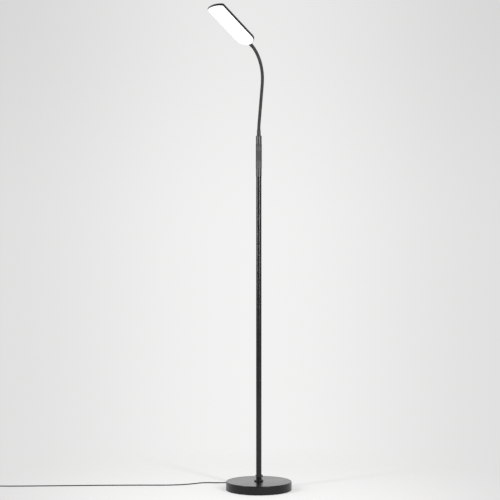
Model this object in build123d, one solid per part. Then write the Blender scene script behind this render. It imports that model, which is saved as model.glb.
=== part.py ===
"""Gooseneck reading floor lamp: round weighted base, three-tube pole, control sleeve,
bendable neck, slim lit head and supply cord. Millimetres, +Z up. The origin lies on the
floor, under the middle of the base; the controls face -Y."""
import os
from math import cos, pi, radians, sin, sqrt, tan

from build123d import *

os.makedirs("parts", exist_ok=True)

# --- clearances ---------------------------------------------------------------------
fit_gap = 0.1  # between pieces that plug into each other and stay there
play = 0.3  # between pieces that move against each other

# --- base ---------------------------------------------------------------------------
base_radius = 115.0
base_height = 31.0
cover_wall = 1.2
cover_lift = 1.5  # the cover's rim stands this far above the floor
cover_edge_radius = 2.4
pad_thickness = 3.0
pad_margin = 1.8  # from the pad's edge to the cover's inner wall
weight_thickness = 11.0
hub_radius = 30.0
bolt_radius = 4.0
bolt_clearance = 0.3
bolt_head_across = 13.0
bolt_head_height = 5.3
bolt_engagement = 11.0
washer_radius = 8.5
washer_thickness = 1.6
counterbore_radius = 11.0

# --- pole ---------------------------------------------------------------------------
tube_radius = 9.5
tube_wall = 1.2
tube_length = 355.3
tube_count = 3
tube_end_chamfer = 0.35
joiner_length = 40.0
joiner_wall = 2.0
foot_plug_height = 12.0
collar_radius = 16.0
collar_height = 4.6
collar_edge_radius = 1.8

# --- control sleeve -----------------------------------------------------------------
sleeve_radius = 10.2
sleeve_wall = 2.0
sleeve_height = 142.1
spigot_length = 16.0
sleeve_floor = 3.0
cap_height = 3.0
cap_lip = 2.0
band_bottom = 28.1  # above the sleeve's lower end
band_height = 84.0
band_radius = 10.6
band_depth = 0.8  # how deep the band sits in the sleeve's wall
power_height = 97.0  # button centres above the sleeve's lower end
dimmer_height = 42.8
button_width = 11.4
dimmer_length = 23.0
button_proud = 0.7
button_flange = 1.1  # the hidden rim that keeps a button in its window
button_flange_thickness = 0.9
button_travel = 0.5
stem_radius = 1.5
switch_reach = 0.8  # from a button's stem to its switch, at rest

# --- circuit inside the sleeve ------------------------------------------------------
board_width = 14.6
board_length = 103.0
board_thickness = 1.2
board_front = 2.2  # the board's front face, behind the pole's axis
board_bottom = 17.0  # above the sleeve's lower end
switch_side = 6.0
switch_height = 3.5
plunger_radius = 1.7
plunger_height = 0.8
dimmer_switch_spacing = 12.0

# --- neck ---------------------------------------------------------------------------
neck_radius = 5.6
neck_bore = 2.5
neck_seat_gap = 0.3
neck_rim = 2.5  # how far above a ball's centre the next link starts
joint_count = 12
neck_pitch = 26.34
neck_turn = 48.0  # the bending plane, turned from -X towards the front
neck_lean = 6.92  # the lower neck leans back by this angle
neck_lean_length = 156.0
neck_bend_radius = 135.9
lower_ferrule_height = 32.0
ferrule_radius = 7.2
ferrule_tail_radius = 5.0
ferrule_tail_length = 11.0
neck_nut_across = 13.4
neck_nut_height = 4.0

# --- head ---------------------------------------------------------------------------
head_tilt = 59.0  # from straight up
head_roll = 6.5
head_length = 212.0
head_width = 70.0
head_depth = 9.7
tip_bulge = 8.0  # how far each end's arc stands out past its corners
neck_end_bulge = 28.0
tip_corner_radius = 5.0
neck_end_corner_radius = 4.0
head_wall = 1.4
head_back = 1.5
back_edge_radius = 1.3
upper_ferrule_length = 22.0
upper_ferrule_radius = 6.1
head_tail_radius = 2.3
head_tail_length = 9.0
head_bore = 1.2
neck_entry = 1.2  # the neck enters the head this far from its middle, towards the lit side
clip_at = 2.1
clip_thickness = 1.2
clip_width = 12.0
clip_groove_depth = 0.6
diffuser_thickness = 2.0
diffuser_margin = 0.4
diffuser_edge_radius = 1.5
skirt_depth = 1.0
skirt_wall = 1.2
boss_height = 1.5
boss_radius = 3.0
screw_radius = 1.25
screw_head_radius = 2.25
screw_head_height = 1.5
screw_spacing_long = 150.0
screw_spacing_wide = 50.0
led_board_margin = 1.0
led_board_start = 17.0
led_board_thickness = 1.2
reflector_thickness = 0.4
led_length = 3.5
led_width = 2.8
led_height = 0.8
led_columns = 13
led_rows = 3
led_pitch_long = 13.0
led_pitch_wide = 17.0
led_window_gap = 0.4

# --- cord ---------------------------------------------------------------------------
cord_diameter = 3.8
floor_gap = 0.05
relief_height = 54.0  # where its axis leaves the pole's surface
relief_turn = 19.0  # from straight back, towards the right
relief_drop = 18.0  # below level
relief_length = 22.0
boot_inner_length = 2.0
relief_neck_radius = 3.0
relief_root_radius = 4.2
relief_tip_radius = 2.7
lead_offset = 4.0  # the inner lead stands off the pole's axis by this
coil_x = -965.0
coil_entry_y = 65.6
coil_radii = (24.5, 22.3, 20.1, 17.9)  # half turns, from the outside in
coil_climb_radius = 15.7
coil_layer_rise = 4.3
tie_width = 4.0
tie_thickness = 0.7
adapter_length = 46.0
adapter_width = 34.0
adapter_height = 24.0
adapter_edge_radius = 3.0
adapter_inlet_length = 12.0
adapter_inlet_radius = 3.6
blade_length = 16.0
blade_width = 6.3
blade_thickness = 1.5
blade_spacing = 12.7
blade_rooted = 4.0

# --- heights that follow ------------------------------------------------------------
cord_radius = cord_diameter / 2
cord_floor = cord_radius + floor_gap
cover_top_inside = base_height - cover_wall
tube_bore = tube_radius - tube_wall
joiner_radius = tube_bore - fit_gap
joiner_bore = joiner_radius - joiner_wall
pole_top = base_height + tube_count * tube_length
sleeve_bottom = pole_top
sleeve_top = sleeve_bottom + sleeve_height
sleeve_bore = sleeve_radius - sleeve_wall
band_seat = sleeve_radius - band_depth
ball_height = sleeve_top + lower_ferrule_height
head_half = head_depth / 2
head_floor = -head_half + head_back
boss_top = head_floor + boss_height
led_board_top = boss_top + led_board_thickness


# --- small helpers ------------------------------------------------------------------
def rod(radius, low, high):
    """An upright cylinder on the axis, between two heights."""
    upright = (Align.CENTER, Align.CENTER, Align.MIN)
    return Pos(0, 0, low) * Cylinder(radius, high - low, align=upright)


def ring(outer, inner, low, high):
    return rod(outer, low, high) - rod(inner, low, high)


def hexagon(across, low, high):
    outline = RegularPolygon(across / 2, 6, major_radius=False)
    return Pos(0, 0, low) * extrude(outline, high - low)


def block(x_size, y_size, z_size, centre):
    return Pos(*centre) * Box(x_size, y_size, z_size)


def unit(vector):
    return Vector(vector).normalized()


# --- base ---------------------------------------------------------------------------
def base_cover():
    shell = rod(base_radius, cover_lift, base_height)
    shell = fillet(shell.edges().group_by(Axis.Z)[-1], cover_edge_radius)
    hollow = rod(base_radius - cover_wall, cover_lift, cover_top_inside)
    hollow = fillet(hollow.edges().group_by(Axis.Z)[-1], cover_edge_radius - cover_wall)
    bolt_hole = rod(bolt_radius + bolt_clearance, cover_top_inside, base_height)
    return shell - hollow - bolt_hole


def base_weight():
    disc = rod(base_radius - cover_wall - play, pad_thickness, pad_thickness + weight_thickness)
    hub = rod(hub_radius, pad_thickness, cover_top_inside)
    pocket = rod(counterbore_radius, pad_thickness, washer_seat())
    bolt_hole = rod(bolt_radius + bolt_clearance, pad_thickness, cover_top_inside)
    return disc + hub - pocket - bolt_hole


def washer_seat():
    """The roof of the pocket that hides the bolt's head."""
    return pad_thickness + fit_gap + bolt_head_height + washer_thickness


def base_pad():
    return rod(base_radius - cover_wall - pad_margin, 0, pad_thickness)


def base_washer():
    high = washer_seat()
    return ring(washer_radius, bolt_radius + bolt_clearance, high - washer_thickness, high)


def base_bolt():
    under_head = washer_seat() - washer_thickness
    head = hexagon(bolt_head_across, under_head - bolt_head_height, under_head)
    shank = rod(bolt_radius, under_head, base_height + bolt_engagement)
    return head + shank


# --- pole ---------------------------------------------------------------------------
def relief_axis():
    """Where the cord's boot leaves the pole, and which way it points."""
    turn, drop = radians(relief_turn), radians(relief_drop)
    across = Vector(sin(turn), cos(turn), 0)
    start = across * tube_radius + Vector(0, 0, relief_height)
    return start, across * cos(drop) - Vector(0, 0, sin(drop))


def relief_plane(distance):
    """A plane square to the boot's axis, this far outside the pole's surface."""
    start, direction = relief_axis()
    return Plane(origin=start + direction * distance, z_dir=direction)


def pole_tube(index):
    low = base_height + index * tube_length
    wall = rod(tube_radius, low, low + tube_length)
    wall = chamfer(wall.edges().group_by(Axis.Z)[0], tube_end_chamfer)
    wall = chamfer(wall.edges().group_by(Axis.Z)[-1], tube_end_chamfer)
    wall -= rod(tube_bore, low, low + tube_length)
    if index == 0:
        wall -= boot_rod(relief_neck_radius + fit_gap, -3 * tube_wall, tube_wall)
    return wall


def boot_rod(radius, start, end):
    """A cylinder along the boot's axis, between two distances from the pole's surface."""
    return extrude(relief_plane(start) * Circle(radius), end - start)


def tube_joiner(seam):
    half = joiner_length / 2
    return ring(joiner_radius, joiner_bore, seam - half, seam + half)


def foot_plug():
    return ring(joiner_radius, bolt_radius + fit_gap, base_height, base_height + foot_plug_height)


def pole_collar():
    disc = rod(collar_radius, base_height, base_height + collar_height)
    disc = fillet(disc.edges().group_by(Axis.Z)[-1], collar_edge_radius)
    return disc - rod(tube_radius + fit_gap, base_height, base_height + collar_height)


# --- control sleeve -----------------------------------------------------------------
def button_outline(width, length):
    return Circle(width / 2) if length <= width else SlotOverall(length, width, rotation=90)


def front_prism(outline, height):
    """An outline on the sleeve's front, run from the axis out past the surface."""
    return Pos(0, 0, height) * extrude(Plane.XZ * outline, 2 * sleeve_radius)


def curved_slab(outline, height, inner, outer):
    """The part of a front prism that lies between two radii of the sleeve."""
    tall = sleeve_height
    return front_prism(outline, height) & ring(outer, inner, height - tall, height + tall)


def button_windows():
    width = button_width + 2 * play
    power = front_prism(button_outline(width, width), sleeve_bottom + power_height)
    dimmer_outline = button_outline(width, dimmer_length + 2 * play)
    return power + front_prism(dimmer_outline, sleeve_bottom + dimmer_height)


def sleeve_body():
    cap_seat = sleeve_top - cap_height
    wall = rod(sleeve_radius, sleeve_bottom, cap_seat)
    wall += rod(joiner_radius, sleeve_bottom - spigot_length, sleeve_bottom)
    wall -= rod(sleeve_bore, sleeve_bottom + sleeve_floor, cap_seat)
    wall -= rod(joiner_bore, sleeve_bottom - spigot_length, cap_seat)
    low = sleeve_bottom + band_bottom
    wall -= ring(2 * sleeve_radius, band_seat, low, low + band_height)
    return wall - button_windows()


def grip_band():
    low = sleeve_bottom + band_bottom + fit_gap
    high = sleeve_bottom + band_bottom + band_height - fit_gap
    band = rod(band_radius, low, high)
    edge = band_radius - sleeve_radius
    band = fillet(band.edges().group_by(Axis.Z)[0] + band.edges().group_by(Axis.Z)[-1], edge)
    return band - rod(band_seat + fit_gap / 2, low, high) - button_windows()


def push_button(height, length, stems):
    """A cap that follows the sleeve, its hidden rim, and a stem for each switch."""
    outer = band_radius + button_proud
    rim_outer = sleeve_bore - play
    rim_inner = rim_outer - button_flange_thickness
    cap = curved_slab(button_outline(button_width, length), height, rim_inner, outer)
    rim_width = button_width + 2 * button_flange
    rim_outline = button_outline(rim_width, length + 2 * button_flange)
    rim = curved_slab(rim_outline, height, rim_inner, rim_outer)
    body = cap + rim
    stem_tip = -switch_front() - switch_reach
    for offset in stems:
        stem = extrude(Plane.XZ.offset(-stem_tip) * Circle(stem_radius), rim_outer + stem_tip)
        body += Pos(0, 0, height + offset) * stem
    return body


def switch_front():
    """How far the switches' plungers reach in front of the pole's axis."""
    return switch_height + plunger_height - board_front


def dimmer_offsets():
    return (-dimmer_switch_spacing / 2, dimmer_switch_spacing / 2)


def power_button():
    return push_button(sleeve_bottom + power_height, button_width, (0,))


def dimmer_button():
    return push_button(sleeve_bottom + dimmer_height, dimmer_length, dimmer_offsets())


def circuit_board():
    centre_z = sleeve_bottom + board_bottom + board_length / 2
    centre = (0, board_front + board_thickness / 2, centre_z)
    return block(board_width, board_thickness, board_length, centre)


def tact_switches():
    centres = [sleeve_bottom + power_height]
    centres += [sleeve_bottom + dimmer_height + offset for offset in dimmer_offsets()]
    body_y = board_front - switch_height / 2
    plunger_plane = Plane.XZ.offset(switch_height - board_front)
    plunger = extrude(plunger_plane * Circle(plunger_radius), plunger_height)
    switches = []
    for height in centres:
        body = block(switch_side, switch_height, switch_side, (0, body_y, height))
        switches.append((body + Pos(0, 0, height) * plunger).solid())
    return Compound(switches)


def driver_parts():
    """The capacitor, coil and control chip that feed the head, on the board's front."""
    capacitor_radius, capacitor_height = 3.1, 11.0
    coil_side, coil_thickness = 7.0, 4.0
    chip_side, chip_thickness = 5.0, 1.5
    middle = sleeve_bottom + (power_height + dimmer_height) / 2
    capacitor_low = middle + 6.0
    capacitor = rod(capacitor_radius, capacitor_low, capacitor_low + capacitor_height)
    capacitor = Pos(0, board_front - capacitor_radius - fit_gap / 2, 0) * capacitor
    coil_centre = (0, board_front - coil_thickness / 2, middle)
    coil = block(coil_side, coil_thickness, coil_side, coil_centre)
    chip_centre = (0, board_front - chip_thickness / 2, sleeve_bottom + board_bottom + 13.0)
    chip = block(chip_side, chip_thickness, chip_side, chip_centre)
    return Compound([capacitor.solid(), coil.solid(), chip.solid()])


def lead_foot():
    """Where the inner lead stands in the pole, seen from above."""
    turn = radians(relief_turn)
    return Vector(-lead_offset * sin(turn), -lead_offset * cos(turn), 0)


def lead_connector():
    height, width, front_margin = 8.0, 6.4, 2.0
    foot = lead_foot()
    front = foot.Y - front_margin
    low = sleeve_bottom + board_bottom
    centre = (foot.X, (front + board_front) / 2, low + height / 2)
    return block(width, board_front - front, height, centre)


def sleeve_cap():
    low = sleeve_top - cap_height
    disc = rod(sleeve_radius, low, sleeve_top)
    disc = fillet(disc.edges().group_by(Axis.Z)[-1], 0.6)
    disc += rod(sleeve_bore - fit_gap, low - cap_lip, low)
    return disc - rod(ferrule_tail_radius + fit_gap, low - cap_lip, sleeve_top)


def neck_nut():
    high = sleeve_top - cap_height - cap_lip
    nut = hexagon(neck_nut_across, high - neck_nut_height, high)
    return nut - rod(ferrule_tail_radius + fit_gap, high - neck_nut_height, high)


# --- neck ---------------------------------------------------------------------------
def turned(outline):
    """A solid turned about Z from an outline of (radius, height) points and arcs."""
    edges = Curve()
    for start, middle, end in outline:
        first, last = (start[0], 0, start[1]), (end[0], 0, end[1])
        if middle is None:
            edges += Line(first, last)
        else:
            edges += ThreePointArc(first, (middle[0], 0, middle[1]), last)
    return revolve(make_face(edges), Axis.Z)


def on_ball(radius, centre, height):
    """The (radius, height) point of a ball's outline at a height above its centre."""
    return (sqrt(radius**2 - height**2), centre + height)


def seat_edges(bore, radius, rim_radius):
    """The hollow ball seat at a link's lower end, its centre at height 0."""
    seat = radius + neck_seat_gap
    top = sqrt(seat**2 - bore**2)
    lip = on_ball(seat, 0, neck_rim)
    inner, middle = (bore, top), on_ball(seat, 0, (top + neck_rim) / 2)
    return [(inner, middle, lip), (lip, None, (rim_radius, neck_rim))]


def ball_edges(bore, radius, centre):
    """The rounded upper end of a link or ferrule, from its side to its bore."""
    top = sqrt(radius**2 - bore**2)
    side, crown = (radius, centre), (bore, centre + top)
    return [(side, on_ball(radius, centre, top * 0.6), crown)]


def link_solid(length):
    """One link of the neck, upright, from the ball below it to its own ball."""
    seat = seat_edges(neck_bore, neck_radius, neck_radius)
    ball = ball_edges(neck_bore, neck_radius, length)
    side = [((neck_radius, neck_rim), None, (neck_radius, length))]
    bore = [(ball[-1][2], None, seat[0][0])]
    return turned(seat + side + ball + bore)


def neck_point(distance):
    """(offset in the bending plane, height, angle from upright) along the neck."""
    lean = radians(-neck_lean)
    straight = min(distance, neck_lean_length)
    offset = straight * sin(lean)
    height = ball_height + straight * cos(lean)
    angle = lean + (distance - straight) / neck_bend_radius
    offset += neck_bend_radius * (cos(lean) - cos(angle))
    height += neck_bend_radius * (sin(angle) - sin(lean))
    return offset, height, angle


def bending_side():
    """The level direction that the head leans towards."""
    turn = radians(neck_turn)
    return Vector(-cos(turn), -sin(turn), 0)


def bend_axis():
    return Vector(0, 0, 1).cross(bending_side())


def joint_centre(index):
    offset, height, _ = neck_point(index * neck_pitch)
    return bending_side() * offset + Vector(0, 0, height)


def tilted(angle):
    """The direction at an angle from upright, in the bending plane."""
    return Vector(0, 0, cos(angle)) + bending_side() * sin(angle)


def link_direction(index):
    """The way a link points; past the last link comes the head."""
    if index < 0:
        return Vector(0, 0, 1)
    if index >= joint_count - 1:
        return tilted(radians(head_tilt))
    return unit(joint_centre(index + 1) - joint_centre(index))


def neck_link(index):
    start = joint_centre(index)
    length = (joint_centre(index + 1) - start).length
    place = Plane(origin=start, x_dir=bend_axis(), z_dir=link_direction(index))
    return place.location * link_solid(length)


def lower_ferrule():
    tail_end = sleeve_top - ferrule_tail_length
    foot, shoulder = (ferrule_tail_radius, tail_end), (ferrule_tail_radius, sleeve_top)
    flange = (ferrule_radius, sleeve_top)
    ball = ball_edges(neck_bore, neck_radius, ball_height)
    end = ball[-1][2]
    outline = [((neck_bore, tail_end), None, foot), (foot, None, shoulder)]
    outline += [(shoulder, None, flange), (flange, None, ball[0][0])]
    return turned(outline + ball + [(end, None, (neck_bore, tail_end))])


def head_start():
    """The middle of the head's neck end, where the upper ferrule meets it."""
    last = joint_count - 1
    return joint_centre(last) + link_direction(last) * upper_ferrule_length


def head_axes():
    """Long axis, width axis and the lit face's outward direction."""
    tilt, roll = radians(head_tilt), radians(head_roll)
    long_axis = tilted(tilt)
    level = tilted(tilt + pi / 2)
    outward = level * cos(roll) + long_axis.cross(level) * sin(roll)
    return long_axis, outward.cross(long_axis), outward


def upper_ferrule():
    """Turned upright from the last joint: seat, flaring body, groove and tail."""
    end = upper_ferrule_length
    seat = seat_edges(head_bore, neck_radius, neck_radius)
    groove_low, groove_high = end + clip_at, end + clip_at + clip_thickness + fit_gap
    groove_radius = head_tail_radius - clip_groove_depth
    tail_end = end + head_tail_length
    corners = [(neck_radius, neck_rim), (upper_ferrule_radius, end), (head_tail_radius, end)]
    corners += [(head_tail_radius, groove_low), (groove_radius, groove_low)]
    corners += [(groove_radius, groove_high), (head_tail_radius, groove_high)]
    corners += [(head_tail_radius, tail_end), (head_bore, tail_end), seat[0][0]]
    outline = seat + [(a, None, b) for a, b in zip(corners, corners[1:])]
    last = joint_count - 1
    place = Plane(origin=joint_centre(last), x_dir=bend_axis(), z_dir=link_direction(last))
    return place.location * turned(outline)


# --- head: built flat, x from the neck end to the tip, +z out of the lit face ---------
def planform(inset=0.0):
    """The head's outline: straight sides, arcs at both ends."""
    half = head_width / 2
    neck_corner, tip_corner = neck_end_bulge, head_length - tip_bulge
    outline = Line((neck_corner, half), (tip_corner, half))
    outline += ThreePointArc((tip_corner, half), (head_length, 0), (tip_corner, -half))
    outline += Line((tip_corner, -half), (neck_corner, -half))
    outline += ThreePointArc((neck_corner, -half), (0, 0), (neck_corner, half))
    shape = make_face(outline)
    corners = shape.vertices().sort_by(Axis.X)
    shape = fillet(corners[2:], tip_corner_radius)
    shape = fillet(shape.vertices().sort_by(Axis.X)[:2], neck_end_corner_radius)
    return offset(shape, -inset) if inset else shape


def slab(inset, low, high):
    """A slice of the head's outline between two levels."""
    return Pos(0, 0, low) * extrude(planform(inset), high - low)


def placed_on_head(piece):
    long_axis, _, outward = head_axes()
    middle = head_start() - outward * neck_entry
    return Plane(origin=middle, x_dir=long_axis, z_dir=outward).location * piece


def screw_places():
    middle = led_board_start + (head_length - led_board_start) / 2
    half_long, half_wide = screw_spacing_long / 2, screw_spacing_wide / 2
    return [(middle + a * half_long, b * half_wide) for a in (-1, 1) for b in (-1, 1)]


def head_housing():
    tray = slab(0, -head_half, head_half)
    tray = fillet(tray.edges().group_by(Axis.Z)[0], back_edge_radius)
    tray -= slab(head_wall, head_floor, head_half)
    tail_hole = Rot(0, 90, 0) * rod(head_tail_radius + fit_gap, -head_wall, 2 * head_wall)
    tray -= Pos(0, 0, neck_entry) * tail_hole
    for x, y in screw_places():
        tray += Pos(x, y, 0) * rod(boss_radius, head_floor, boss_top)
        tray -= Pos(x, y, 0) * rod(screw_radius + fit_gap, screw_tip() - fit_gap, boss_top)
    return tray


def screw_tip():
    return -head_half + head_back / 2


def neck_clip():
    """A forked plate that grips the groove in the ferrule's tail."""
    tall = 2 * head_tail_radius
    slot = 2 * (head_tail_radius - clip_groove_depth + fit_gap)
    middle = clip_at + (clip_thickness + fit_gap) / 2
    plate = block(clip_thickness, clip_width, tall, (0, 0, 0))
    plate -= block(clip_thickness, slot, tall / 2, (0, 0, -tall / 4))
    plate -= Rot(0, 90, 0) * Cylinder(slot / 2, tall)
    return Pos(middle, 0, neck_entry) * plate


def diffuser():
    plate = slab(diffuser_margin, head_half, head_half + diffuser_thickness)
    plate = fillet(plate.edges().group_by(Axis.Z)[-1], diffuser_edge_radius)
    skirt = slab(head_wall + fit_gap, head_half - skirt_depth, head_half)
    skirt -= slab(head_wall + fit_gap + skirt_wall, head_half - skirt_depth, head_half)
    return plate + skirt


def board_slice(low, high):
    """The board's outline, kept clear of the neck's tail."""
    margin = head_wall + led_board_margin
    rest = head_length - led_board_start
    middle = (led_board_start + rest / 2, 0, (low + high) / 2)
    return slab(margin, low, high) & block(rest, head_width, high - low, middle)


def led_board():
    board = board_slice(boss_top, led_board_top)
    for x, y in screw_places():
        board -= Pos(x, y, 0) * rod(screw_radius + fit_gap, boss_top, led_board_top)
    return board


def led_places():
    middle = led_board_start + (head_length - led_board_start) / 2
    first_x = middle - led_pitch_long * (led_columns - 1) / 2
    first_y = -led_pitch_wide * (led_rows - 1) / 2
    columns = [first_x + column * led_pitch_long for column in range(led_columns)]
    rows = [first_y + row * led_pitch_wide for row in range(led_rows)]
    return [(x, y) for x in columns for y in rows]


def leds():
    centre = led_board_top + led_height / 2
    lamps = [block(led_length, led_width, led_height, (x, y, centre)) for x, y in led_places()]
    return Compound([lamp.solid() for lamp in lamps])


def reflector():
    """The white sheet over the board, with a window for each light and screw."""
    high = led_board_top + reflector_thickness
    sheet = board_slice(led_board_top, high)
    x_size, y_size = led_length + 2 * led_window_gap, led_width + 2 * led_window_gap
    for x, y in led_places():
        sheet -= block(x_size, y_size, 4 * reflector_thickness, (x, y, high))
    for x, y in screw_places():
        sheet -= Pos(x, y, 0) * rod(screw_head_radius + play, led_board_top, high)
    return sheet


def head_screws():
    screws = []
    for x, y in screw_places():
        head = rod(screw_head_radius, led_board_top, led_board_top + screw_head_height)
        head = fillet(head.edges().group_by(Axis.Z)[-1], screw_head_height / 2)
        screw = head + rod(screw_radius, screw_tip(), led_board_top)
        screws.append((Pos(x, y, 0) * screw).solid())
    return Compound(screws)


# --- cord ---------------------------------------------------------------------------
def strain_relief():
    """The moulded boot: a neck through the pole's wall and a taper outside it."""
    neck = boot_rod(relief_neck_radius, -boot_inner_length, tube_wall)
    taper = loft([relief_plane(-tube_wall) * Circle(relief_root_radius),
                  relief_plane(relief_length) * Circle(relief_tip_radius)])
    wide = rod(tube_radius + fit_gap / 2, base_height, base_height + tube_length)
    return neck + (taper - wide)


def cord_route():
    """The free stretch: boot, base top, over the rim, along the floor to the coil."""
    start, direction = relief_axis()
    tip = start + direction * relief_length
    knee = tip + direction * 12.0
    over_base = [(12.0, 53.0, 37.0), (7.5, 71.0, 32.6), (1.5, 91.0, 35.2)]
    down = [(-4.0, 111.0, 39.4), (-10.0, 127.5, 29.5), (-18.0, 138.0, 11.0)]
    behind = [(-32.0, 149.0, cord_floor), (-62.0, 153.0, cord_floor)]
    beside = [(-108.0, 141.0, cord_floor), (-152.0, 136.5, cord_floor)]
    beside += [(-198.0, 143.0, cord_floor), (-242.0, 111.0, cord_floor)]
    away = [(-291.0, 91.0, cord_floor), (-345.0, 86.2, cord_floor)]
    away += [(-403.0, 87.4, cord_floor), (-461.0, 86.6, cord_floor)]
    away += [(-519.0, 84.8, cord_floor), (-577.0, 82.4, cord_floor)]
    away += [(-635.0, 79.4, cord_floor), (-693.0, 75.6, cord_floor)]
    away += [(-751.0, 71.6, cord_floor), (-809.0, 68.4, cord_floor)]
    away += [(-867.0, 66.4, cord_floor), (-907.0, 66.0, cord_floor)]
    end = [(-937.0, coil_entry_y, coil_level()), (coil_x, coil_entry_y, coil_level())]
    points = [tip, knee] + over_base + down + behind + beside + away + end
    return [Vector(point) for point in points]


def corner_radii(points):
    """Each bend is as large as its two runs allow."""
    radii = []
    for before, corner, after in zip(points, points[1:], points[2:]):
        first, second = corner - before, after - corner
        shorter = min(first.length, second.length)
        radii.append(0.45 * shorter / tan(radians(first.get_angle(second)) / 2))
    return radii


def tube_along(points, radii):
    path = FilletPolyline(*points, radius=radii)
    start = Plane(origin=points[0], z_dir=points[1] - points[0])
    return sweep(start * Circle(cord_radius), path=path), path


def report_tube(name, solid, path, radii):
    expected = pi * cord_radius**2 * path.length
    print(f"{name}: length {path.length:.1f}, volume ratio {solid.volume / expected:.4f},",
          "bend radii", " ".join(f"{radius:.0f}" for radius in radii))


def cord_run():
    points = cord_route()
    radii = corner_radii(points)
    solid, path = tube_along(points, radii)
    report_tube("cord", solid, path, radii)
    return solid


def coil_level():
    """The lower layer of the coil stands on the tie."""
    return cord_floor + tie_thickness + 2 * fit_gap


def two_arcs(start, start_way, end, end_way):
    """Two circular arcs that join two points and keep both directions."""
    chord = end - start
    ways = start_way + end_way
    a = 2 * (1 - start_way.dot(end_way))
    b = 2 * chord.dot(ways)
    c = -chord.dot(chord)
    reach = (-b + sqrt(b * b - 4 * a * c)) / (2 * a)
    middle = (start + start_way * reach + end - end_way * reach) * 0.5
    first = TangentArc(start, middle, tangent=start_way)
    second = TangentArc(middle, end, tangent=first % 1)
    return [first, second]


def coil_edges():
    """Half turns that spiral in on the floor, climb, and spiral out on top."""
    level, y = coil_level(), coil_entry_y
    half_turns = [(radius, level) for radius in coil_radii]
    half_turns += [(coil_climb_radius, None)]
    half_turns += [(radius, level + coil_layer_rise) for radius in coil_radii[:0:-1]]
    edges = []
    side = 1
    for radius, height in half_turns:
        start_y, end_y = y, y + 2 * side * radius
        if height is None:
            low = Vector(coil_x, start_y, level)
            high = Vector(coil_x, end_y, level + coil_layer_rise)
            climb_way = Vector(0, 1, coil_layer_rise / (pi * radius)).normalized()
            halfway = Vector(coil_x - radius, (start_y + end_y) / 2, (low.Z + high.Z) / 2)
            edges += two_arcs(low, Vector(-1, 0, 0), halfway, climb_way)
            edges += two_arcs(halfway, climb_way, high, Vector(1, 0, 0))
        else:
            middle = (coil_x - side * radius, (start_y + end_y) / 2, height)
            ends = (coil_x, start_y, height), (coil_x, end_y, height)
            edges.append(ThreePointArc(ends[0], middle, ends[1]))
        y = end_y
        side = -side
    outer = coil_radii[0]
    corner = Vector(coil_x - outer, y + outer, level + coil_layer_rise)
    edges.append(TangentArc((coil_x, y, corner.Z), corner, tangent=(-1, 0, 0)))
    return edges


def least_gap(path, diameter):
    """The least clear distance between turns of a path that passes itself."""
    samples = 420
    points = [path @ (step / samples) for step in range(samples + 1)]
    apart = int(samples * pi * coil_climb_radius / path.length)
    pairs = [(points[i] - points[j]).length
             for i in range(len(points)) for j in range(i + apart, len(points))]
    return min(pairs) - diameter


def cord_coil():
    path = Wire(coil_edges())
    start = Plane(origin=(coil_x, coil_entry_y, coil_level()), z_dir=(-1, 0, 0))
    solid = sweep(start * Circle(cord_radius), path=path)
    radii = (*coil_radii, coil_climb_radius)
    report_tube("coil", solid, path, radii)
    print(f"coil: least gap to itself {least_gap(path, cord_diameter):.2f}")
    return solid


def coil_end():
    """Where the coil's upper layer lets the cord go, heading away from the camera."""
    outer = coil_radii[0]
    y = coil_entry_y + outer
    return Vector(coil_x - outer, y, coil_level() + coil_layer_rise)


def adapter_inlet():
    start = coil_end()
    return Vector(start.X, start.Y + 62.0, adapter_height / 2)


def cord_tail():
    start, end = coil_end(), adapter_inlet()
    points = [start, start + Vector(0, 14.0, 0), start + Vector(1.5, 31.0, 0.8)]
    points += [end - Vector(0, 14.0, 0), end]
    radii = corner_radii(points)
    solid, path = tube_along(points, radii)
    report_tube("cord tail", solid, path, radii)
    return solid


def coil_tie():
    """A flat band round the turns on the coil's right side. The two layers' turns there
    have centres a little apart, and the band stands level with the middle of them."""
    outer_turn, inner_turn = coil_radii[1], coil_radii[-1]
    shift = coil_radii[0] - outer_turn
    inner_x = sqrt(inner_turn**2 - (shift + tie_width / 2) ** 2) - cord_radius - play
    outer_x = outer_turn + cord_radius + play
    bottom = coil_level() - cord_radius - fit_gap
    top = coil_level() + coil_layer_rise + cord_radius + fit_gap
    centre_y = coil_entry_y + coil_radii[0]
    centre = (coil_x + (inner_x + outer_x) / 2, centre_y, (bottom + top) / 2)
    hole = Box(outer_x - inner_x, 2 * tie_width, top - bottom)
    hole = fillet(hole.edges().filter_by(Axis.Y), cord_radius)
    band = Box(outer_x - inner_x + 2 * tie_thickness, tie_width, top - bottom + 2 * tie_thickness)
    band = fillet(band.edges().filter_by(Axis.Y), cord_radius + tie_thickness)
    return Pos(*centre) * (band - hole)


def adapter_body():
    inlet = adapter_inlet()
    front = inlet.Y + adapter_inlet_length
    centre = (inlet.X, front + adapter_length / 2, adapter_height / 2)
    body = Box(adapter_width, adapter_length, adapter_height)
    body = Pos(*centre) * fillet(body.edges(), adapter_edge_radius)
    boot = Cone(cord_radius + 0.8, adapter_inlet_radius, adapter_inlet_length)
    boot_centre = (inlet.X, inlet.Y + adapter_inlet_length / 2, inlet.Z)
    body += Pos(*boot_centre) * Rot(-90, 0, 0) * boot
    for slot in blade_slots(fit_gap):
        body -= slot
    return body


def blade_slots(margin):
    """The blades, or with a margin the slots in the adapter that hold them."""
    inlet = adapter_inlet()
    back = inlet.Y + adapter_inlet_length + adapter_length
    length = blade_length + blade_rooted + margin
    slots = []
    for side in (-1, 1):
        centre = (inlet.X + side * blade_spacing / 2, back - blade_rooted - margin + length / 2,
                  adapter_height / 2)
        slots.append(block(blade_thickness + 2 * margin, length, blade_width + 2 * margin, centre))
    return slots


def adapter_blades():
    return Compound([blade.solid() for blade in blade_slots(0)])


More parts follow.
